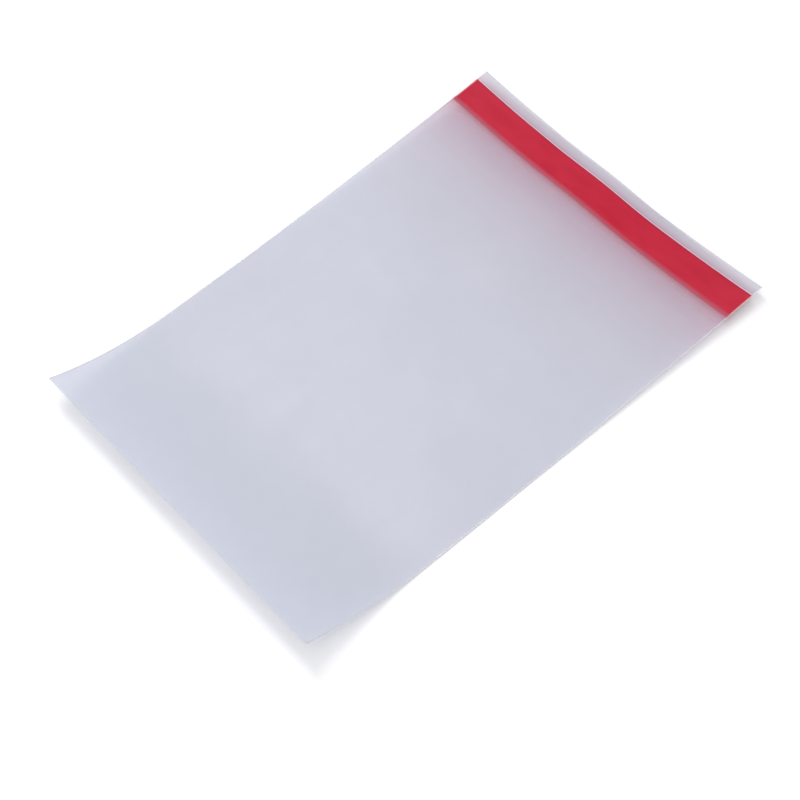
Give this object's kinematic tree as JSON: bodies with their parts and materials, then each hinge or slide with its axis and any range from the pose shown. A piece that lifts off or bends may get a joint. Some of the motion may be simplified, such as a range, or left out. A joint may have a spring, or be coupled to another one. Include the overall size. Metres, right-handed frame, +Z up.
{
  "type": "self-seal plastic bag",
  "caption": "Flat rectangular pouch of clear plastic film with a folded bottom, welded sides and a self-seal mouth under a red release liner.",
  "frame": {"origin": "on the surface that the bag lies on, below the middle of its box", "axes": "+X across the bag, +Y from the fold at the bottom of the bag to its mouth, +Z up from the surface it lies on"},
  "size_m": [0.14, 0.1985, 0.0111],
  "materials": {
    "film": "milky clear film, satin",
    "adhesive": "clear tacky band, glossy",
    "liner": "smooth red plastic tape, satin"
  },
  "bodies": {
    "root": {"film_pouch": "film", "adhesive_strip": "adhesive", "release_liner": "liner"}
  },
  "joints": []
}
